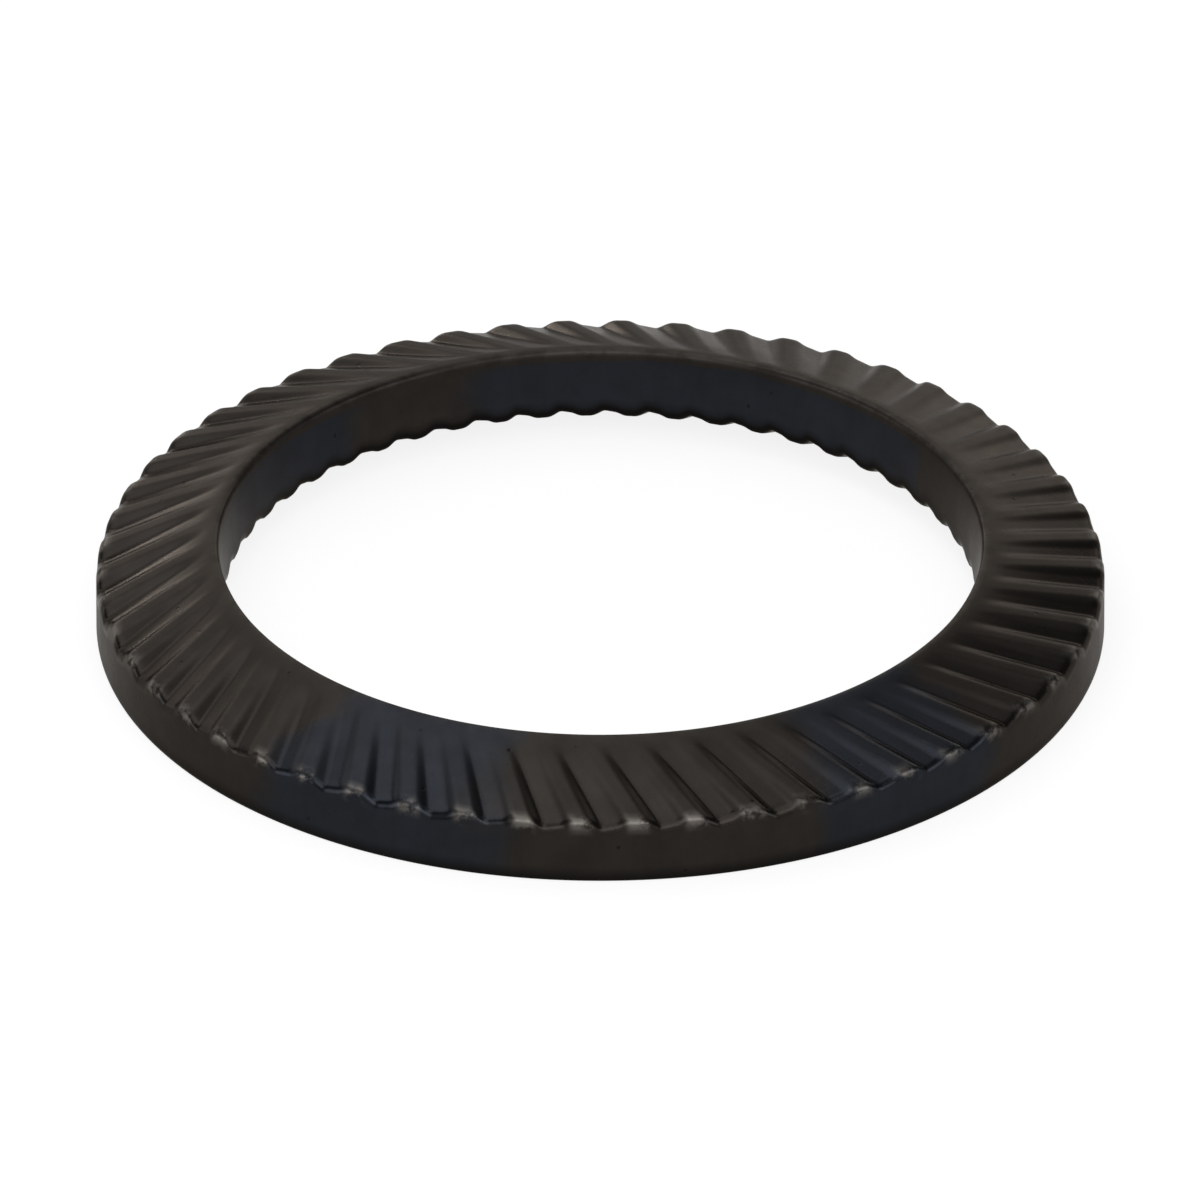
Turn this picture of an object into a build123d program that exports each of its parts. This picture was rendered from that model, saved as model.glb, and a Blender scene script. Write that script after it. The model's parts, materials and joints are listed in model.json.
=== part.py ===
"""Serrated safety washer: one dished spring-steel ring with skewed serrations on both faces.

Frame: +Z runs up the bore axis and the origin is the centre of the circle that the ring rests on.
The ring is dished, so its top face stands highest round the bore and it rests on its outer edge.
The bore is punched: a straight land below, and above it a tapered break that opens to the top face.
"""
from build123d import *
import os
from math import acos, degrees, pi, radians, sin, sqrt

# Ring, in millimetres
BORE_DIAMETER = 13.2  # across the straight land, passes a 12 mm bolt shank
BORE_LAND = 0.7  # height of the straight land, from the tops of the underside's teeth
BORE_FLARE = 0.11  # how far the taper above the land opens the bore, each side
OUTER_DIAMETER = 17.7
RIM_HEIGHT = 1.21  # straight outer wall, up to the tops of the teeth
BORE_WALL_HEIGHT = 1.33  # whole wall of the bore, from the tops of the underside's teeth
DISH = 0.62  # how far the top face rises from the rim to the bore

# Edges broken by blanking and tumbling, measured along the faces
TOP_RIM_BREAK = 0.11
BASE_RIM_BREAK = 0.12
TOP_BORE_BREAK = 0.13
BASE_BORE_BREAK = 0.08

# Serrations: straight grooves, skewed from the radius, the same hand seen from either side
TOOTH_COUNT = 54
SKEW_ANGLE = 22.3  # degrees between a groove and the radius, where the groove meets the rim
TOP_FIRST_NOTCH = 3.7  # degrees from +X to a groove of the top face, at the rim
TOP_DEPTH = 0.155  # at the rim
TOP_PLAIN_BAND = 0.3  # smooth ring next to the bore's edge on the top face
BASE_TURN = 2.5  # degrees that the underside's grooves are turned on about the axis
BASE_DEPTH = 0.12  # at the bore
BASE_PLAIN_BAND = 0.3  # smooth ring next to the rim on the underside

# Groove section as shares of one tooth pitch. From its deepest line the full flank climbs to one side,
# and the floor and the upper flank to the other. What is left over is the flat land of the tooth.
FULL_FLANK_SHARE = 0.32
FLOOR_SHARE = 0.32
UPPER_FLANK_SHARE = 0.21
FLOOR_RISE = 0.5  # share of the depth that the floor regains before the upper flank

FLANK_OVERRUN = 0.03  # each flank of a cutter carries on this far above the face
CUTTER_HEIGHT = 0.4  # body of a cutter above the face
CUTTER_REACH = 0.4  # each cutter runs on this far past the wall that it opens into
CUTTER_TAPER = 6.0  # the edges of a cutter meet this far beyond the shallow end of its groove

BORE_RADIUS = BORE_DIAMETER / 2
TOP_BORE_RADIUS = BORE_RADIUS + BORE_FLARE
RIM_RADIUS = OUTER_DIAMETER / 2
TOTAL_HEIGHT = RIM_HEIGHT + DISH
BASE_RISE = TOTAL_HEIGHT - BORE_WALL_HEIGHT  # hollow under the bore edge
PITCH_ANGLE = 360 / TOOTH_COUNT
SKEW_CIRCLE = RIM_RADIUS * sin(radians(SKEW_ANGLE))  # every groove line is a tangent of this circle


def top_height(radius):
    """Height of the plain top face at a radius."""
    return RIM_HEIGHT + DISH * (RIM_RADIUS - radius) / (RIM_RADIUS - TOP_BORE_RADIUS)


def base_height(radius):
    """Height of the plain underside at a radius."""
    return BASE_RISE * (RIM_RADIUS - radius) / (RIM_RADIUS - BORE_RADIUS)


def ring_blank():
    """The dished ring before serrating, turned from its section."""
    corners = {
        (BORE_RADIUS, BASE_RISE): BASE_BORE_BREAK,
        (RIM_RADIUS, 0): BASE_RIM_BREAK,
        (RIM_RADIUS, RIM_HEIGHT): TOP_RIM_BREAK,
        (TOP_BORE_RADIUS, TOTAL_HEIGHT): TOP_BORE_BREAK,
    }
    land_top = (BORE_RADIUS, BASE_RISE + BORE_LAND)
    section = make_face(Polyline(*corners, land_top, close=True))
    for corner, length in corners.items():
        section = chamfer(section.vertices().sort_by_distance(corner)[0], length)
    return revolve(Plane.XZ * section, Axis.Z)


def groove_point(radius, face_height):
    """Point of the groove line on a face, at a radius."""
    return Vector(SKEW_CIRCLE, sqrt(radius**2 - SKEW_CIRCLE**2), face_height(radius))


def groove_section(origin, run, up, pitch, depth):
    """Section of the groove cutter where it is largest, square to the groove line."""
    floor_end = FLOOR_SHARE * pitch
    upper_end = floor_end + UPPER_FLANK_SHARE * pitch
    full_end = -FULL_FLANK_SHARE * pitch
    outline = [
        (full_end, FLANK_OVERRUN),
        (0, -depth),
        (floor_end, -depth * (1 - FLOOR_RISE)),
        (upper_end, FLANK_OVERRUN),
        (upper_end, CUTTER_HEIGHT),
        (full_end, CUTTER_HEIGHT),
    ]
    return Plane(origin, x_dir=up.cross(run), z_dir=run) * make_face(Polyline(*outline, close=True))


def groove_cutter(face_height, plain_radius, open_radius, depth):
    """Wedge that cuts one groove, from nothing at one radius to its full depth at another."""
    plain = groove_point(plain_radius, face_height)
    opening = groove_point(open_radius, face_height)
    deepening = (opening - plain).normalized()
    slope = depth / (opening - plain).length
    outward = deepening * (1 if open_radius > plain_radius else -1)
    up = outward.cross(Vector(-1, 0, 0)).normalized()
    apex = plain - deepening * CUTTER_TAPER + up * (slope * CUTTER_TAPER)
    end = opening + deepening * CUTTER_REACH
    pitch = 2 * pi * end.Y / TOOTH_COUNT
    section = groove_section(end, outward, up, pitch, depth + slope * CUTTER_REACH)
    return loft([Vertex(*apex), section], ruled=True)


def pattern(cutter, first_angle):
    """One cutter for every tooth, evenly round the axis."""
    return [Rot(Z=first_angle + count * PITCH_ANGLE) * cutter for count in range(TOOTH_COUNT)]


def top_cutters():
    """Grooves of the top face: plain at the bore, deepest at the rim."""
    cutter = groove_cutter(top_height, TOP_BORE_RADIUS + TOP_PLAIN_BAND, RIM_RADIUS, TOP_DEPTH)
    return pattern(cutter, TOP_FIRST_NOTCH - degrees(acos(SKEW_CIRCLE / RIM_RADIUS)))


def base_cutters():
    """Grooves of the underside: plain at the rim, deepest at the bore."""
    cutter = groove_cutter(
        lambda radius: -base_height(radius), RIM_RADIUS - BASE_PLAIN_BAND, BORE_RADIUS, BASE_DEPTH
    )
    return pattern(Rot(X=180) * cutter, BASE_TURN)


def washer():
    """The finished washer, standing on z = 0."""
    ring = ring_blank() - top_cutters() - base_cutters()
    return Pos(Z=-ring.bounding_box().min.Z) * ring


os.makedirs("parts", exist_ok=True)
export_step(washer(), "parts/washer.step")
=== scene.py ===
"""Looks of the serrated safety washer: a dished ring of spring steel in matt black oxide.

The ring is built again as one fine mesh with the form of its CAD solid, so that the worn edges, the
rounded teeth and the run-out of every groove can be shown. Lengths are in metres unless a name says mm.
"""

import json
import logging
import math
import random
from dataclasses import dataclass
from enum import Enum
from typing import Any, Mapping, NamedTuple, Optional, Sequence, Union

import bpy
import numpy as np
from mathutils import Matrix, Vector

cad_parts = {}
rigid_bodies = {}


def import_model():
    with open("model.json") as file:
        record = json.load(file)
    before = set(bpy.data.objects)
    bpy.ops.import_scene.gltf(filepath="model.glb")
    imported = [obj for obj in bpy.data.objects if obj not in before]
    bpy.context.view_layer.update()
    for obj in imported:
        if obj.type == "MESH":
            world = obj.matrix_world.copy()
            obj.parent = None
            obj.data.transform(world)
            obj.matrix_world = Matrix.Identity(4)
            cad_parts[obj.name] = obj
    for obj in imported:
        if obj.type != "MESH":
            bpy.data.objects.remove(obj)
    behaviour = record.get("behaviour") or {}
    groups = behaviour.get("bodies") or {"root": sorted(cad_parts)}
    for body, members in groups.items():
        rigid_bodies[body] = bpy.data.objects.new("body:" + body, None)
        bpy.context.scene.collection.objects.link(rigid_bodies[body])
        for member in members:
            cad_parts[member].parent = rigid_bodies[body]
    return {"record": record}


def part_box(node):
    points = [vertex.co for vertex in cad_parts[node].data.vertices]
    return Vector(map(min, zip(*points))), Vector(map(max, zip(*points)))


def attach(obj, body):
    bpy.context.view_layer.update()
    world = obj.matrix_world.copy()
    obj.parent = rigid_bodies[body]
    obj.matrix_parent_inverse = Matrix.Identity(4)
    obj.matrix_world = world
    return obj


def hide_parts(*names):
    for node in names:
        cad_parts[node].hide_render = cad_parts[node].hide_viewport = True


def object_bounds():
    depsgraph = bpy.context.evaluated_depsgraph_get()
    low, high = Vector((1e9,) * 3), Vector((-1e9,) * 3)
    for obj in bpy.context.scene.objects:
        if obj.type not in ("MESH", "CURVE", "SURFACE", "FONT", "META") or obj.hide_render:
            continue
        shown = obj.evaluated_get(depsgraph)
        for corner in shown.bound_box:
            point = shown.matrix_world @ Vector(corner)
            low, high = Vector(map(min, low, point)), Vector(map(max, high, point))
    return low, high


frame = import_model()
CAD_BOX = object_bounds()
MM = 0.001
LOG = logging.getLogger("washer")

Colour = tuple[float, float, float]
Points = np.ndarray


# ---------------------------------------------------------------- shader building


class Maths(Enum):
    """Operations of a Math node that the finishes use."""

    ADD = "ADD"
    SUBTRACT = "SUBTRACT"
    MULTIPLY = "MULTIPLY"
    MAXIMUM = "MAXIMUM"
    MINIMUM = "MINIMUM"


class Signal:
    """A value in a node tree that arithmetic can be written on."""

    def __init__(self, bench: "Bench", socket: bpy.types.NodeSocket) -> None:
        """Wraps a socket.

        Args:
            bench: The bench whose node tree holds the socket.
            socket: An output socket that carries a number.
        """
        self.bench = bench
        self.socket = socket

    def __add__(self, other: "Number") -> "Signal":
        """This value plus another."""
        return self.bench.maths(Maths.ADD, self, other)

    def __radd__(self, other: float) -> "Signal":
        """A number plus this value."""
        return self.bench.maths(Maths.ADD, other, self)

    def __sub__(self, other: "Number") -> "Signal":
        """This value minus another."""
        return self.bench.maths(Maths.SUBTRACT, self, other)

    def __rsub__(self, other: float) -> "Signal":
        """A number minus this value."""
        return self.bench.maths(Maths.SUBTRACT, other, self)

    def __mul__(self, other: "Number") -> "Signal":
        """This value times another."""
        return self.bench.maths(Maths.MULTIPLY, self, other)

    def __rmul__(self, other: float) -> "Signal":
        """A number times this value."""
        return self.bench.maths(Maths.MULTIPLY, other, self)

    def clamped(self) -> "Signal":
        """This value kept between 0 and 1."""
        above = self.bench.maths(Maths.MAXIMUM, self, 0.0)
        return self.bench.maths(Maths.MINIMUM, above, 1.0)


Number = Union[Signal, float]
Link = Union[Signal, bpy.types.NodeSocket, float, Sequence[float]]


@dataclass(frozen=True)
class Grain:
    """Size and character of one fractal noise."""

    scale: float
    detail: float
    rough: float


class Bench:
    """Builds the nodes of one material or world."""

    def __init__(self, owner: Union[bpy.types.Material, bpy.types.World]) -> None:
        """Empties the owner's node tree and keeps it.

        Args:
            owner: The material or world to build.
        """
        owner.use_nodes = True
        self.tree = owner.node_tree
        self.tree.nodes.clear()

    def node(
        self,
        kind: str,
        settings: Optional[Mapping[str, Any]] = None,
        inputs: Optional[Mapping[Union[str, int], Link]] = None,
    ) -> bpy.types.Node:
        """Adds one node.

        Args:
            kind: The node's type, such as ShaderNodeTexNoise.
            settings: Properties of the node, which are set first.
            inputs: Values or links, by the name or index of each input socket.

        Returns:
            The new node.
        """
        made = self.tree.nodes.new(kind)
        for name, value in (settings or {}).items():
            setattr(made, name, value)
        for name, value in (inputs or {}).items():
            self._feed(made.inputs[name], value)
        return made

    def _feed(self, socket: bpy.types.NodeSocket, value: Link) -> None:
        """Sets a socket's value or links something to it.

        Args:
            socket: The input socket.
            value: A number, a colour or vector, a socket or a Signal.
        """
        if isinstance(value, Signal):
            self.tree.links.new(value.socket, socket)
        elif isinstance(value, bpy.types.NodeSocket):
            self.tree.links.new(value, socket)
        elif isinstance(value, (int, float)):
            socket.default_value = value
        else:
            socket.default_value = tuple(value) + (1.0,) * (len(socket.default_value) - len(value))

    def maths(self, operation: Maths, first: Number, second: Number) -> Signal:
        """Adds one Math node.

        Args:
            operation: What the node does.
            first: The first value.
            second: The second value.

        Returns:
            The result.
        """
        made = self.node("ShaderNodeMath", {"operation": operation.value}, {0: first, 1: second})
        return Signal(self, made.outputs[0])

    def attribute(self, name: str) -> bpy.types.Node:
        """The node that reads a named attribute of the mesh."""
        return self.node("ShaderNodeAttribute", {"attribute_type": "GEOMETRY", "attribute_name": name})

    def vector(self, name: str) -> bpy.types.NodeSocket:
        """A vector attribute of the mesh."""
        return self.attribute(name).outputs["Vector"]

    def value(self, name: str) -> Signal:
        """A number attribute of the mesh."""
        return Signal(self, self.attribute(name).outputs["Fac"])

    def stretched(self, vector: bpy.types.NodeSocket, scale: Sequence[float]) -> bpy.types.NodeSocket:
        """A vector scaled along each axis."""
        made = self.node("ShaderNodeVectorMath", {"operation": "MULTIPLY"}, {0: vector, 1: scale})
        return made.outputs[0]

    def noise(self, vector: bpy.types.NodeSocket, grain: Grain) -> Signal:
        """Adds fractal noise.

        Args:
            vector: Where the noise is read.
            grain: Lumps for each unit of the vector, octaves and the weight of the finer ones.

        Returns:
            The noise, around 0.5.
        """
        made = self.node(
            "ShaderNodeTexNoise",
            {},
            {"Vector": vector, "Scale": grain.scale, "Detail": grain.detail, "Roughness": grain.rough},
        )
        return Signal(self, made.outputs["Fac"])

    def ramp(self, value: Signal, low: float, high: float) -> Signal:
        """Spreads a value and eases both ends.

        Args:
            value: The value to spread.
            low: What becomes 0.
            high: What becomes 1.

        Returns:
            The spread value, kept between 0 and 1.
        """
        made = self.node(
            "ShaderNodeMapRange",
            {"interpolation_type": "SMOOTHSTEP"},
            {"Value": value, "From Min": low, "From Max": high},
        )
        return Signal(self, made.outputs["Result"])

    def blend(self, factor: Number, first: Link, second: Link) -> bpy.types.NodeSocket:
        """Mixes one colour into another.

        Args:
            factor: 0 gives the first colour and 1 the second.
            first: The first colour.
            second: The second colour.

        Returns:
            The mixed colour.
        """
        made = self.node("ShaderNodeMix", {"data_type": "RGBA"}, {"Factor": factor, 6: first, 7: second})
        return made.outputs[2]


# ---------------------------------------------------------------- finishes


@dataclass(frozen=True)
class BlackOxide:
    """Matt black oxide on tumbled spring steel: brown-black with bluish areas, greyer on worn edges, with
    painted shade in creases and a painted contact shadow along the lower edges.
    """

    # Colours
    brown_black: Colour = (0.0230, 0.0200, 0.0179)
    blue_black: Colour = (0.0177, 0.0196, 0.0242)
    worn_grey: Colour = (0.130, 0.120, 0.110)
    # Darkest colour: real pits and random dark tone, and also the painted shade in creases and the painted
    # contact shadow
    pit_and_shadow_black: Colour = (0.006, 0.0055, 0.005)
    grazing_tint: Colour = (0.61, 0.59, 0.57)

    # Roughness of the matt oxide, of its worn edges and of the bottoms of the grooves
    matt: float = 0.41
    rubbed: float = 0.32
    pressed_gloss: float = 0.29
    speckle_roughness: float = 0.12
    mottle_roughness: float = 0.10

    # Noises, with their lumps for each millimetre; the streaks run along the section
    cloud: Grain = Grain(0.45, 3.0, 0.5)
    mottle: Grain = Grain(1.6, 4.0, 0.55)
    speckle: Grain = Grain(16.0, 3.0, 0.65)
    chips: Grain = Grain(2.6, 4.0, 0.65)
    streak: Grain = Grain(1.0, 3.0, 0.5)
    streak_squeeze: tuple[float, float, float] = (7.0, 7.0, 1.0)

    # Where the oxide turns blue, how uneven its shade is and where an edge is worn
    blue_wander: float = 1.6
    blue_limits: tuple[float, float] = (0.3, 0.75)
    shade_mottle: float = 0.75
    shade_limits: tuple[float, float] = (0.3, 0.7)
    shade_depth: float = 0.22
    wear_speckle: float = 0.1
    wear_limits: tuple[float, float] = (0.42, 0.56)

    # How far pits, the painted shade in the creases and the painted contact shadow along the lower edges go
    # towards the darkest colour
    pit_dark: float = 0.7
    crease_shade_strength: float = 0.25
    contact_shadow_strength: float = 1.1

    # Pits: cells for each millimetre, the share of cells that have none, and a pit's radius in cells
    pit_cells: float = 2.6
    pit_chance: tuple[float, float] = (0.72, 0.78)
    pit_radius: tuple[float, float] = (0.05, 0.13)

    # Relief of the surface
    relief: float = 0.0035 * MM
    streak_relief: float = 0.25
    speckle_relief: float = 0.35
    mottle_relief: float = 0.8
    pit_relief: float = 1.4

    def material(self) -> bpy.types.Material:
        """Builds the material.

        Returns:
            The material, which reads the attributes that WasherMesh writes.
        """
        made = bpy.data.materials.new("black_oxide")
        bench = Bench(made)
        place = bench.vector("place_mm")
        cloud = bench.noise(place, self.cloud)
        mottle = bench.noise(place, self.mottle)
        speckle = bench.noise(place, self.speckle)
        chips = bench.noise(place, self.chips)
        streak = bench.noise(bench.stretched(bench.vector("grain_mm"), self.streak_squeeze), self.streak)
        pits = self._pits(bench, place)

        blued = bench.ramp(bench.value("blued") + (cloud - 0.5) * self.blue_wander, *self.blue_limits)
        colour = bench.blend(blued, self.brown_black, self.blue_black)
        shade = mottle * self.shade_mottle + streak * (1 - self.shade_mottle)
        shade = bench.ramp(shade, *self.shade_limits) * self.shade_depth
        colour = bench.blend(shade, colour, self.pit_and_shadow_black)
        chipped = chips * (1 - self.wear_speckle) + speckle * self.wear_speckle
        wear = (bench.value("edge") * bench.ramp(chipped, *self.wear_limits)).clamped()
        colour = bench.blend(wear, colour, self.worn_grey)
        # Pits are darker as real marks; concave creases of the grooves get painted shade
        dark = pits * self.pit_dark + bench.value("painted_crease_shade") * self.crease_shade_strength
        # Painted contact shadow along the lower edges of the bore and the outer wall
        dark = dark + bench.value("painted_contact_shadow") * self.contact_shadow_strength
        colour = bench.blend(dark.clamped(), colour, self.pit_and_shadow_black)

        roughness = self.matt + (speckle - 0.5) * self.speckle_roughness
        roughness = roughness + (mottle - 0.5) * self.mottle_roughness
        roughness = roughness - wear * (self.matt - self.rubbed)
        roughness = roughness - bench.value("pressed") * (self.matt - self.pressed_gloss)

        height = streak * self.streak_relief + speckle * self.speckle_relief
        height = height + mottle * self.mottle_relief - pits * self.pit_relief
        bump = bench.node("ShaderNodeBump", {}, {"Strength": 1.0, "Distance": self.relief, "Height": height})
        surface = bench.node(
            "ShaderNodeBsdfPrincipled",
            {},
            {
                "Base Color": colour,
                "Metallic": 1.0,
                "Roughness": roughness,
                "Specular Tint": self.grazing_tint,
                "Normal": bump.outputs["Normal"],
            },
        )
        bench.node("ShaderNodeOutputMaterial", {}, {"Surface": surface.outputs["BSDF"]})
        return made

    def _pits(self, bench: Bench, place: bpy.types.NodeSocket) -> Signal:
        """Scatters small pits.

        Args:
            bench: The bench of the material.
            place: Position in millimetres.

        Returns:
            1 inside a pit and 0 elsewhere.
        """
        cells = bench.node(
            "ShaderNodeTexVoronoi",
            {"feature": "F1"},
            {"Vector": place, "Scale": self.pit_cells, "Randomness": 1.0},
        )
        chance = bench.node("ShaderNodeSeparateColor", {}, {"Color": cells.outputs["Color"]})
        rare = bench.ramp(Signal(bench, chance.outputs[0]), *self.pit_chance)
        return (1.0 - bench.ramp(Signal(bench, cells.outputs["Distance"]), *self.pit_radius)) * rare


@dataclass(frozen=True)
class StudioWhite:
    """Pale sweep that the washer stands on."""

    tone: Colour = (0.86, 0.86, 0.86)
    lift: float = 0.85

    def material(self) -> bpy.types.Material:
        """Builds the floor's material: a diffuse white that keeps the washer's shadow.

        Returns:
            The material.
        """
        made = bpy.data.materials.new("studio_white")
        bench = Bench(made)
        matt = bench.node("ShaderNodeBsdfDiffuse", {}, {"Color": self.tone})
        glow = bench.node("ShaderNodeEmission", {}, {"Color": (1.0, 1.0, 1.0), "Strength": 1.0})
        ray = bench.node("ShaderNodeLightPath")
        seen = Signal(bench, ray.outputs["Is Camera Ray"])
        seen = seen + Signal(bench, ray.outputs["Is Glossy Ray"])
        seen = seen + Signal(bench, ray.outputs["Is Transmission Ray"])
        mixed = bench.node(
            "ShaderNodeMixShader", {}, {0: seen.clamped() * self.lift, 1: matt.outputs[0], 2: glow.outputs[0]}
        )
        bench.node("ShaderNodeOutputMaterial", {}, {"Surface": mixed.outputs[0]})
        return made


# ---------------------------------------------------------------- the washer


class Side(Enum):
    """A face of the ring and the sense in which its teeth run round, seen from above."""

    TOP = 1
    BASE = -1


@dataclass
class Serration:
    """The grooves of one face: straight, skewed, and deepest where they open into a wall.

    The flanks and the floor are shares of one tooth pitch, measured from the groove's deepest line. The
    parting is how far before that line the groove takes over from the one before it. The softness of a
    ridge or a valley is how far its rounding reaches. It shrinks with the groove's depth, down to the least
    share. The run-out power shapes how the groove deepens along its length.
    """

    side: Side
    plain_radius: float
    open_radius: float
    depth: float
    first_notch: float
    seed: int
    rim_radius: float
    count: int = 54
    skew: float = math.radians(22.3)
    full_flank: float = 0.235
    floor: float = 0.34
    upper_flank: float = 0.11
    floor_rise: float = 0.46
    parting: float = 0.39
    ridge_softness: float = 0.048 * MM
    valley_softness: float = 0.040 * MM
    least_softness: float = 0.12
    run_out_power: float = 0.65
    uneven_depth: float = 0.10
    uneven_place: float = 0.025
    glossy_depth: float = 0.45

    def __post_init__(self) -> None:
        """Sets the circle that every groove is a tangent of, and draws how the teeth differ."""
        self.skew_circle = self.rim_radius * math.sin(self.skew)
        draw = random.Random(self.seed)
        self.depth_share = 1 + self.spread(draw, self.uneven_depth)
        self.floor_shift = self.spread(draw, self.uneven_place)
        self.flank_shift = self.spread(draw, self.uneven_place)

    def spread(self, draw: random.Random, amount: float) -> Points:
        """One random number for each groove, up to an amount either way."""
        return np.array([draw.uniform(-amount, amount) for _ in range(self.count)])

    def turn(self, radius: Points) -> Points:
        """Angle by which a groove has swung, at a radius, from where it meets the rim.

        Args:
            radius: Radii in metres.

        Returns:
            Angles in radians, seen from above.
        """
        swing = np.arccos(self.skew_circle / radius) - math.acos(self.skew_circle / self.rim_radius)
        return self.side.value * swing

    def depth_at(self, radius: Points) -> Points:
        """Depth of a groove's bottom below the plain face.

        Args:
            radius: Radii in metres.

        Returns:
            Depths in metres, negative where the groove has run out.
        """
        along = np.sqrt(radius**2 - self.skew_circle**2)
        start = math.sqrt(self.plain_radius**2 - self.skew_circle**2)
        end = math.sqrt(self.open_radius**2 - self.skew_circle**2)
        share = (along - start) / (end - start)
        return self.depth * np.sign(share) * np.abs(share) ** self.run_out_power

    def relief(self, angle: Points, radius: Points) -> Points:
        """Height of the face above its plain form.

        Args:
            angle: Angle of each column of the mesh where it meets the rim, in radians.
            radius: Radius of each point, with the same shape.

        Returns:
            Heights along the face's outward direction, mostly negative, in metres.
        """
        pitch = 2 * math.pi / self.count
        turned = self.side.value * (angle - self.first_notch) / pitch
        nearest = np.floor(turned + self.parting).astype(int)
        share = turned - nearest
        groove = nearest % self.count
        depth = self.depth_at(radius) * self.depth_share[groove]
        softer = np.clip(depth / self.depth, self.least_softness, 1)
        floor_end = self.floor + self.floor_shift[groove]
        on_full = 1 + share / (self.full_flank + self.flank_shift[groove])
        on_floor = 1 - self.floor_rise * share / floor_end
        on_upper = (1 - self.floor_rise) * (1 - (share - floor_end) / self.upper_flank)
        bowl = soft_minimum(depth * on_floor, depth * on_upper, self.valley_softness * softer)
        below = soft_minimum(bowl, depth * on_full, self.valley_softness * softer)
        return soft_minimum(np.zeros_like(below), -below, self.ridge_softness * softer)

    def pressed(self, relief: Points) -> Points:
        """How far points lie in a groove: 0 on the plain face and 1 from the glossy depth on down."""
        return np.clip(-relief / (self.glossy_depth * self.depth), 0, 1)


def soft_minimum(first: Points, second: Points, softness: Points) -> Points:
    """The lower of two heights, with the corner between them rounded.

    Args:
        first: One set of heights.
        second: The other set.
        softness: How far either side of the corner the rounding reaches.

    Returns:
        The rounded lower height.
    """
    near = np.maximum(softness - np.abs(first - second), 0) / softness
    return np.minimum(first, second) - near**2 * softness / 4


def between(start: Vector, end: Vector, count: int) -> list[Vector]:
    """Evenly spaced points strictly between two others.

    Args:
        start: The first end.
        end: The other end.
        count: How many points.

    Returns:
        The points in order.
    """
    return [start.lerp(end, (n + 1) / (count + 1)) for n in range(count)]


class Zone(Enum):
    """A part of the section's outline."""

    TOP = "top face"
    RIM = "outer wall"
    BASE = "underside"
    BORE = "wall of the bore"


class Row(NamedTuple):
    """One row of the mesh; on a wall, wave is how much of the toothed edge's waves it still has."""

    zone: Zone
    radius: float
    height: float
    wave: float = 0.0


@dataclass
class Section:
    """Radial section of the ring before serrating, with its edges broken."""

    bore_radius: float
    rim_radius: float
    flare: float = 0.11 * MM
    land: float = 0.70 * MM
    flare_power: float = 2.4
    rim_height: float = 1.21 * MM
    bore_wall_height: float = 1.33 * MM
    dish: float = 0.615 * MM
    top_rim_break: float = 0.16 * MM
    base_rim_break: float = 0.13 * MM
    top_bore_break: float = 0.16 * MM
    base_bore_break: float = 0.09 * MM
    corner_steps: int = 5
    face_rows: int = 18
    wall_rows: int = 8
    bore_wave_reach: float = 0.5

    @property
    def top_bore_radius(self) -> float:
        """Radius of the flared bore where it meets the top face."""
        return self.bore_radius + self.flare

    @property
    def width(self) -> float:
        """Width of the ring from the narrowest bore to the rim."""
        return self.rim_radius - self.bore_radius

    def corner(self, at: Vector, before: Vector, after: Vector, size: float) -> list[Vector]:
        """Rounded corner as a row of points.

        Args:
            at: The sharp corner.
            before: A point on the line that arrives.
            after: A point on the line that leaves.
            size: Distance from the corner at which the rounding starts.

        Returns:
            Points from the arriving line to the leaving one.
        """
        start = at + (before - at).normalized() * size
        end = at + (after - at).normalized() * size
        steps = [step / self.corner_steps for step in range(self.corner_steps + 1)]
        return [start.lerp(at, t).lerp(at.lerp(end, t), t) for t in steps]

    def rows(self) -> list[Row]:
        """Walks once round the section, from the bore over the top face and back under the ring.

        Returns:
            The rows in order.
        """
        total = self.rim_height + self.dish
        rise = total - self.bore_wall_height
        top_bore, top_rim = Vector((self.top_bore_radius, total)), Vector((self.rim_radius, self.rim_height))
        base_bore, base_rim = Vector((self.bore_radius, rise)), Vector((self.rim_radius, 0.0))
        land_top = Vector((self.bore_radius, rise + self.land))
        top_bore_arc = self.corner(top_bore, land_top, top_rim, self.top_bore_break)
        top_rim_arc = self.corner(top_rim, top_bore, base_rim, self.top_rim_break)
        base_rim_arc = self.corner(base_rim, top_rim, base_bore, self.base_rim_break)
        base_bore_arc = self.corner(base_bore, base_rim, land_top, self.base_bore_break)

        top = top_bore_arc + between(top_bore_arc[-1], top_rim_arc[0], self.face_rows) + top_rim_arc
        rim = between(top_rim_arc[-1], base_rim_arc[0], self.wall_rows)
        base = base_rim_arc + between(base_rim_arc[-1], base_bore_arc[0], self.face_rows) + base_bore_arc
        shares = [(n + 1) / (self.wall_rows + 1) for n in range(self.wall_rows)]
        walk = [Row(Zone.TOP, p.x, p.y) for p in top]
        walk += [Row(Zone.RIM, p.x, p.y, 1 - share) for p, share in zip(rim, shares)]
        walk += [Row(Zone.BASE, p.x, p.y) for p in base]
        low, high = base_bore_arc[-1].y, top_bore_arc[0].y
        for climb in shares:
            radius = self.bore_radius + (top_bore_arc[0].x - self.bore_radius) * climb**self.flare_power
            wave = max(0.0, 1 - climb / self.bore_wave_reach)
            walk.append(Row(Zone.BORE, radius, low + (high - low) * climb, wave))
        return walk


@dataclass(frozen=True)
class BluedArea:
    """A part of the ring, in degrees round it, where the oxide has a bluish cast."""

    angle: float
    reach: float
    in_bore: bool
    softness: float = 3.0

    def strength(self, angle: Points) -> Points:
        """How blue the ring is at each angle in radians, from 0 to 1, with a soft edge."""
        away = np.degrees(np.abs((angle - math.radians(self.angle) + math.pi) % (2 * math.pi) - math.pi))
        return 1 / (1 + np.exp((away - self.reach) / self.softness))


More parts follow.
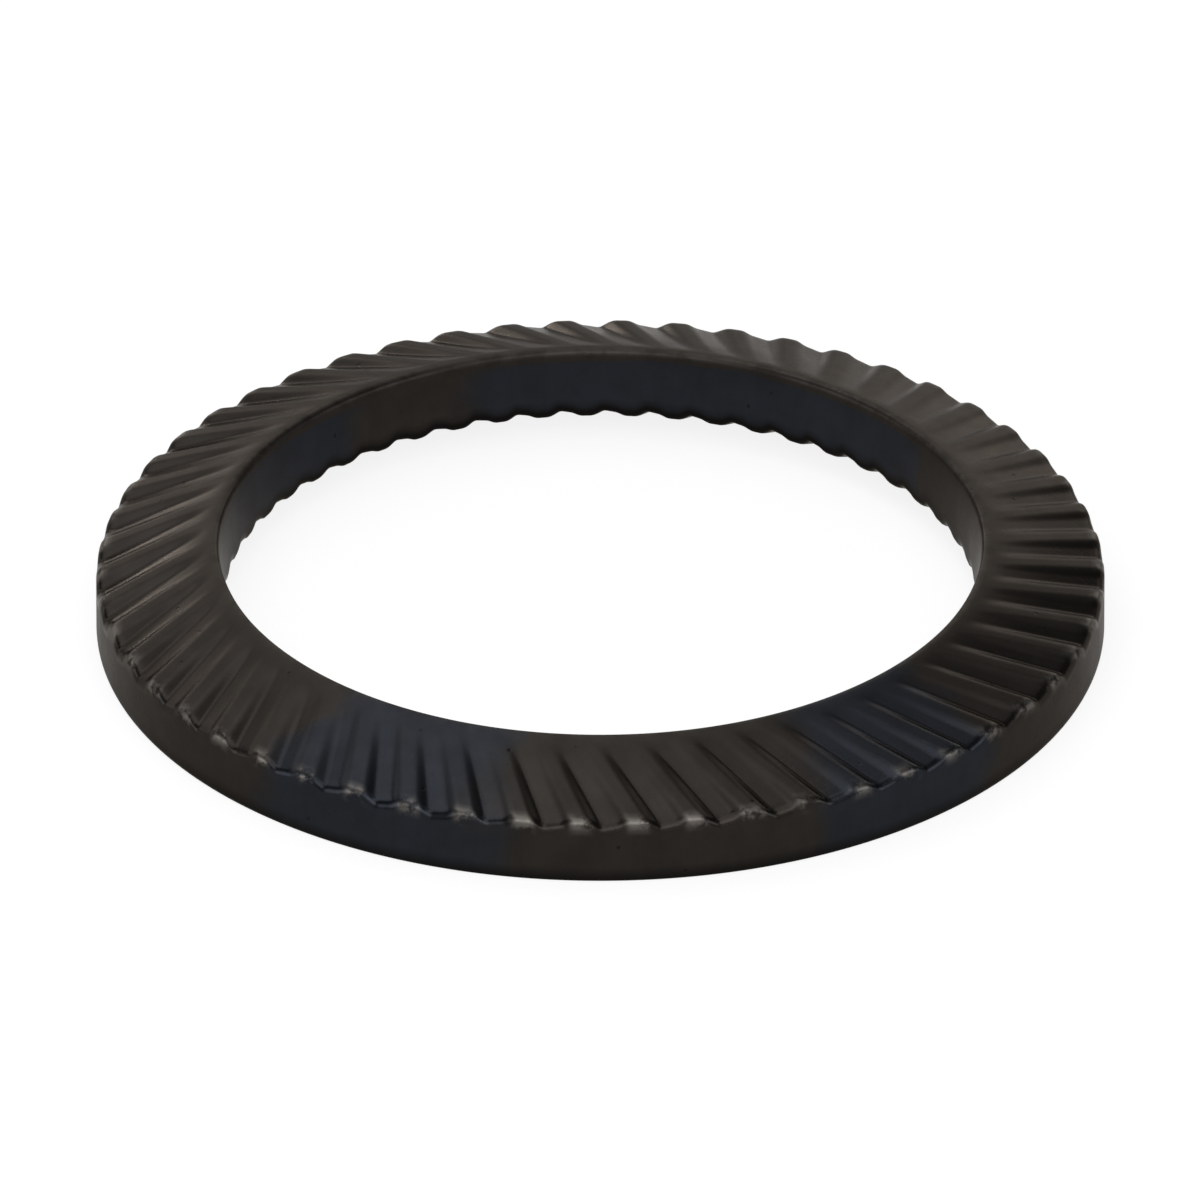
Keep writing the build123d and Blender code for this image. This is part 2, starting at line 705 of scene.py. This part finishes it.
@dataclass(frozen=True)
class Grid:
    """Vertices in rows that run round the section and columns that follow the grooves.

    Its fields are the positions, how deep in a groove each vertex lies, the distance walked round the
    section at each row, each column's angle at the rim, and the columns by which the last row's
    numbering is ahead of the first row's where the two meet.
    """

    placed: Points
    pressed: Points
    walked: Points
    angle: Points
    shift: int

    def next_row(self, values: Points) -> Points:
        """Values of the row that follows each row, past the seam too."""
        return np.concatenate([values[1:], np.roll(values[:1], -self.shift, axis=1)])

    def previous_row(self, values: Points) -> Points:
        """Values of the row before each row, past the seam too."""
        return np.concatenate([np.roll(values[-1:], self.shift, axis=1), values[:-1]])


@dataclass
class WasherMesh:
    """The finished ring as one closed mesh.

    The wear of a tooth's sides is a share of the wear of its ends, and the wear beside the bore is a
    share of the wear at the rim. An edge counts as sharp from the full curl on, which is how far a vertex
    stands out from the line between its neighbours, as a share of that line. The shadow heights are those
    above which the painted contact shadow along the lower edges of the bore and the outer wall fades out.
    """

    section: Section
    top: Serration
    base: Serration
    finish: BlackOxide
    rest_height: float
    columns_per_tooth: int = 24
    tooth_wear: float = 0.15
    bore_wear: float = 0.08
    bore_wear_power: float = 4
    pressed_wear_power: float = 2
    full_curl: float = 0.10
    shadow_foot_height: float = 0.17 * MM
    shadow_rim_height: float = 0.30 * MM
    blue_below_bevel: float = 0.04 * MM
    blued_areas: tuple[BluedArea, ...] = (
        BluedArea(-116, 14, False),
        BluedArea(-52, 12, False),
        BluedArea(68, 37, True),
        BluedArea(160, 30, True),
    )

    def grid(self) -> Grid:
        """Places every vertex.

        Returns:
            The vertices, with the lowest at the rest height.
        """
        columns = self.columns_per_tooth * self.top.count
        angle = np.arange(columns) * 2 * math.pi / columns
        rim_waves = self.top.relief(angle, np.full(columns, self.section.rim_radius))
        bore_waves = -self.base.relief(angle, np.full(columns, self.section.bore_radius))
        walk = self.section.rows()
        placed = np.zeros((len(walk), columns, 3))
        pressed = np.zeros((len(walk), columns))
        for index, row in enumerate(walk):
            radii = np.full(columns, row.radius)
            if row.zone is Zone.TOP:
                turn, lift = self.top.turn(radii), self.top.relief(angle, radii)
                pressed[index] = self.top.pressed(lift)
            elif row.zone is Zone.RIM:
                turn, lift = np.zeros(columns), rim_waves * row.wave
            elif row.zone is Zone.BASE:
                turn, lift = self.base.turn(radii), -self.base.relief(angle, radii)
                pressed[index] = self.base.pressed(-lift)
            else:
                turn, lift = self.base.turn(radii), bore_waves * row.wave
            placed[index, :, 0] = row.radius * np.cos(angle + turn)
            placed[index, :, 1] = row.radius * np.sin(angle + turn)
            placed[index, :, 2] = row.height + lift
        placed[:, :, 2] += self.rest_height - placed[:, :, 2].min()
        steps = [math.hypot(b.radius - a.radius, b.height - a.height) for a, b in zip(walk, walk[1:])]
        return Grid(placed, pressed, np.cumsum([0.0] + steps), angle, self.seam_shift(columns))

    def seam_shift(self, columns: int) -> int:
        """Measures how the grooves of the two faces pass each other in the bore.

        Args:
            columns: Columns of the mesh.

        Returns:
            Columns by which the last row's numbering is ahead of the first row's.
        """
        first, last = self.section.top_bore_radius, self.section.bore_radius
        twist = float(self.base.turn(np.array([last]))[0] - self.top.turn(np.array([first]))[0])
        return round(twist / (2 * math.pi) * columns)

    def build(self) -> bpy.types.Object:
        """Builds the ring and dresses it.

        Returns:
            The new object.
        """
        grid = self.grid()
        number = np.arange(grid.pressed.size).reshape(grid.pressed.shape)
        after = grid.next_row(number)
        corners = [number, after, np.roll(after, -1, axis=1), np.roll(number, -1, axis=1)]
        faces = np.stack(corners, axis=-1).reshape(-1, 4)
        mesh = bpy.data.meshes.new("washer_body")
        mesh.from_pydata(grid.placed.reshape(-1, 3).tolist(), [], faces.tolist())
        mesh.shade_smooth()
        self.mark_grain(mesh, grid)
        self.mark_edges(mesh, grid)
        self.add_values(mesh, "pressed", grid.pressed)
        self.add_values(mesh, "blued", self.blued(grid))
        mesh.materials.append(self.finish.material())
        return link_mesh("washer_body", mesh)

    def mark_grain(self, mesh: bpy.types.Mesh, grid: Grid) -> None:
        """Writes each vertex's place, and its place on the section unrolled, in millimetres.

        Args:
            mesh: The ring's mesh.
            grid: Its vertices.
        """
        grain = np.zeros_like(grid.placed)
        grain[:, :, 0] = self.section.rim_radius * np.cos(grid.angle)
        grain[:, :, 1] = self.section.rim_radius * np.sin(grid.angle)
        grain[:, :, 2] = grid.walked[:, None]
        self.add_vectors(mesh, "place_mm", grid.placed / MM)
        self.add_vectors(mesh, "grain_mm", grain / MM)

    def mark_edges(self, mesh: bpy.types.Mesh, grid: Grid) -> None:
        """Writes where the ring is worn, the painted shade of its creases and the painted contact shadow
        along its lower edges.

        Args:
            mesh: The ring's mesh.
            grid: Its vertices.
        """
        placed = grid.placed
        above, below = grid.previous_row(placed), grid.next_row(placed)
        left, right = np.roll(placed, 1, axis=1), np.roll(placed, -1, axis=1)
        normal = np.cross(below - above, right - left)
        normal /= np.linalg.norm(normal, axis=-1, keepdims=True)
        bend = np.zeros(placed.shape[:2])
        rubbed = np.zeros(placed.shape[:2])
        for one, other, share in ((above, below, 1.0), (left, right, self.tooth_wear)):
            reach = np.linalg.norm(other - one, axis=-1)
            curl = np.einsum("ijk,ijk->ij", placed - (one + other) / 2, normal) / reach
            bend += curl
            rubbed += curl * share

        height = placed[:, :, 2]
        outward = np.hypot(placed[:, :, 0], placed[:, :, 1]) - self.section.bore_radius
        across = (outward / self.section.width) ** self.bore_wear_power
        rubbed *= self.bore_wear + (1 - self.bore_wear) * across
        rubbed *= (height > self.section.rim_height / 2) * (1 - grid.pressed) ** self.pressed_wear_power
        # Painted contact shadow: the lower edge of the bore and the foot of the outer wall are darkened,
        # fading out upwards
        climb = height - placed[-1 - self.section.wall_rows, :, 2]
        in_bore = outward < self.section.base_bore_break
        on_rim = outward > self.section.width - self.section.base_rim_break / 2
        painted_contact_shadow = in_bore * np.clip(1 - climb / self.shadow_foot_height, 0, 1)
        painted_contact_shadow += on_rim * np.clip(1 - height / self.shadow_rim_height, 0, 1)
        self.add_values(mesh, "edge", np.clip(rubbed / self.full_curl, 0, 1))
        # Painted shade in concave creases, where the surface bends inwards
        self.add_values(mesh, "painted_crease_shade", np.clip(-bend / self.full_curl, 0, 1))
        self.add_values(mesh, "painted_contact_shadow", painted_contact_shadow)

    def blued(self, grid: Grid) -> Points:
        """Finds how bluish each vertex is.

        Args:
            grid: The ring's vertices.

        Returns:
            Values from 0 to 1, in rows and columns.
        """
        across, along = grid.placed[:, :, 0], grid.placed[:, :, 1]
        angle = np.arctan2(along, across)
        in_bore = np.hypot(across, along) < self.section.top_bore_radius - self.blue_below_bevel
        values = np.zeros(angle.shape)
        for area in self.blued_areas:
            values = np.maximum(values, area.strength(angle) * (in_bore == area.in_bore))
        return values

    def add_vectors(self, mesh: bpy.types.Mesh, name: str, values: Points) -> None:
        """Adds a vector attribute to every vertex."""
        mesh.attributes.new(name, "FLOAT_VECTOR", "POINT").data.foreach_set("vector", values.ravel())

    def add_values(self, mesh: bpy.types.Mesh, name: str, values: Points) -> None:
        """Adds a number attribute to every vertex."""
        mesh.attributes.new(name, "FLOAT", "POINT").data.foreach_set("value", values.ravel())


# ---------------------------------------------------------------- studio


@dataclass(frozen=True)
class Lamp:
    """A soft lamp that faces the washer.

    The azimuth is in degrees from straight behind the washer, positive to the right, and the elevation
    in degrees above the floor. Width, height and distance are in washer widths. The level is the
    brightness of the lamp's face, where 1 is white.
    """

    name: str
    azimuth: float
    elevation: float
    width: float
    height: float
    level: float
    distance: float = 6

    def hang(self, washer_width: float) -> bpy.types.Object:
        """Makes the lamp.

        Args:
            washer_width: Width of the washer in metres.

        Returns:
            The lamp object.
        """
        turn, rise = math.radians(self.azimuth), math.radians(self.elevation)
        way = Vector((math.sin(turn) * math.cos(rise), math.cos(turn) * math.cos(rise), math.sin(rise)))
        light = bpy.data.lights.new(self.name, "AREA")
        light.shape = "RECTANGLE"
        light.size, light.size_y = self.width * washer_width, self.height * washer_width
        light.energy = self.level * math.pi * light.size * light.size_y
        made = bpy.data.objects.new(self.name, light)
        made.visible_camera = False
        made.location = way * self.distance * washer_width
        made.rotation_mode = "QUATERNION"
        made.rotation_quaternion = way.to_track_quat("Z", "Y")
        bpy.context.scene.collection.objects.link(made)
        return made


@dataclass
class Studio:
    """White floor, soft lamps and dim surroundings."""

    washer_width: float
    floor_height: float
    floor_reach: float = 60
    surroundings: float = 0.15
    lamps: tuple[Lamp, ...] = (
        Lamp("key_lamp", -13, 26, 17.0, 2.8, 1.8),
        Lamp("top_lamp", -34, 64, 6.0, 4.0, 2.15),
        Lamp("zenith_lamp", 180, 76, 4.0, 3.2, 2.0),
        Lamp("back_lamp", 18, 10, 2.6, 1.5, 1.3),
        Lamp("low_strip", -20, 9, 0.9, 0.6, 13.0),
        Lamp("front_lamp", 180, 45, 7.0, 3.0, 3.3),
        Lamp("left_fill", -108, 18, 3.6, 2.6, 2.8),
        Lamp("right_fill", 114, 18, 3.6, 2.2, 2.9),
        Lamp("right_top_lamp", 62, 64, 3.0, 2.2, 0.6),
        Lamp("low_front", 180, 14, 8.0, 2.4, 1.0),
        Lamp("low_left", -72, 7, 5.0, 1.4, 0.9),
        Lamp("low_right", 72, 7, 5.0, 1.4, 0.9),
    )

    def floor(self) -> bpy.types.Object:
        """Lays the floor.

        Returns:
            The floor object.
        """
        half = self.washer_width * self.floor_reach
        corners = [(-half, -half), (half, -half), (half, half), (-half, half)]
        mesh = bpy.data.meshes.new("floor")
        mesh.from_pydata([(x, y, self.floor_height) for x, y in corners], [], [(0, 1, 2, 3)])
        mesh.materials.append(StudioWhite().material())
        return link_mesh("floor", mesh)

    def light(self) -> None:
        """Fills the surroundings with an even grey and hangs the lamps."""
        made = bpy.data.worlds.new("studio")
        bench = Bench(made)
        grey = (self.surroundings,) * 3
        glow = bench.node("ShaderNodeBackground", {}, {"Color": grey, "Strength": 1.0})
        bench.node("ShaderNodeOutputWorld", {}, {"Surface": glow.outputs[0]})
        bpy.context.scene.world = made
        for lamp in self.lamps:
            lamp.hang(self.washer_width)


@dataclass(frozen=True)
class LongLens:
    """A camera with a long lens that looks down on the washer from in front."""

    elevation: float = 30.1
    lens: float = 1400.0
    sensor: float = 36.0
    view_width: float = 21.06 * MM
    aim: tuple[float, float, float] = (-0.006 * MM, -0.233 * MM, 0.688 * MM)
    nearest: float = 0.1
    farthest: float = 20

    def place(self) -> bpy.types.Object:
        """Makes the camera and sets it as the scene's.

        Returns:
            The camera object.
        """
        distance = self.view_width * self.lens / self.sensor
        data = bpy.data.cameras.new("camera")
        data.lens, data.sensor_width = self.lens, self.sensor
        data.clip_start, data.clip_end = distance * self.nearest, distance * self.farthest
        rise = math.radians(self.elevation)
        back = Vector((0.0, -math.cos(rise), math.sin(rise)))
        made = bpy.data.objects.new("camera", data)
        made.location = Vector(self.aim) + back * distance
        made.rotation_mode = "QUATERNION"
        made.rotation_quaternion = (-back).to_track_quat("-Z", "Y")
        bpy.context.scene.collection.objects.link(made)
        bpy.context.scene.camera = made
        return made


# ---------------------------------------------------------------- assembly


def link_mesh(name: str, mesh: bpy.types.Mesh) -> bpy.types.Object:
    """Puts a mesh into the scene.

    Args:
        name: The new object's name.
        mesh: The finished mesh.

    Returns:
        The new object.
    """
    made = bpy.data.objects.new(name, mesh)
    bpy.context.scene.collection.objects.link(made)
    return made


def washer_from_frame() -> WasherMesh:
    """Reads the CAD sizes and describes the washer on them.

    Returns:
        The washer, ready to build.
    """
    low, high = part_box("washer")
    section = Section(frame["record"]["mounts"][0]["dims"]["r_mm"] * MM, (high.x - low.x) / 2)
    plain_band = 0.3 * MM
    top = Serration(
        side=Side.TOP,
        plain_radius=section.top_bore_radius + plain_band,
        open_radius=section.rim_radius,
        depth=0.142 * MM,
        first_notch=math.radians(3.7),
        seed=7,
        rim_radius=section.rim_radius,
    )
    base_turn = math.radians(2.5)
    base = Serration(
        side=Side.BASE,
        plain_radius=section.rim_radius - plain_band,
        open_radius=section.bore_radius,
        depth=0.112 * MM,
        first_notch=top.skew - math.pi / 2 + base_turn,
        seed=11,
        rim_radius=section.rim_radius,
    )
    return WasherMesh(section, top, base, BlackOxide(), rest_height=low.z)


def main() -> None:
    """Builds the washer and its studio, and reports each piece."""
    logging.basicConfig(level=logging.INFO, format="%(name)s: %(message)s")
    body = washer_from_frame().build()
    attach(body, "root")
    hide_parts("washer")
    LOG.info("washer_body: %d vertices, %d faces", len(body.data.vertices), len(body.data.polygons))

    low, high = CAD_BOX
    studio = Studio(washer_width=high.x - low.x, floor_height=low.z)
    floor = studio.floor()
    LOG.info("floor: %d face", len(floor.data.polygons))
    studio.light()
    LOG.info("studio: %d lamps", len(studio.lamps))
    camera = LongLens().place()
    LOG.info("camera: lens of %.0f mm", camera.data.lens)

    bpy.context.scene.view_settings.view_transform = "Standard"


if __name__ == "__main__":
    main()
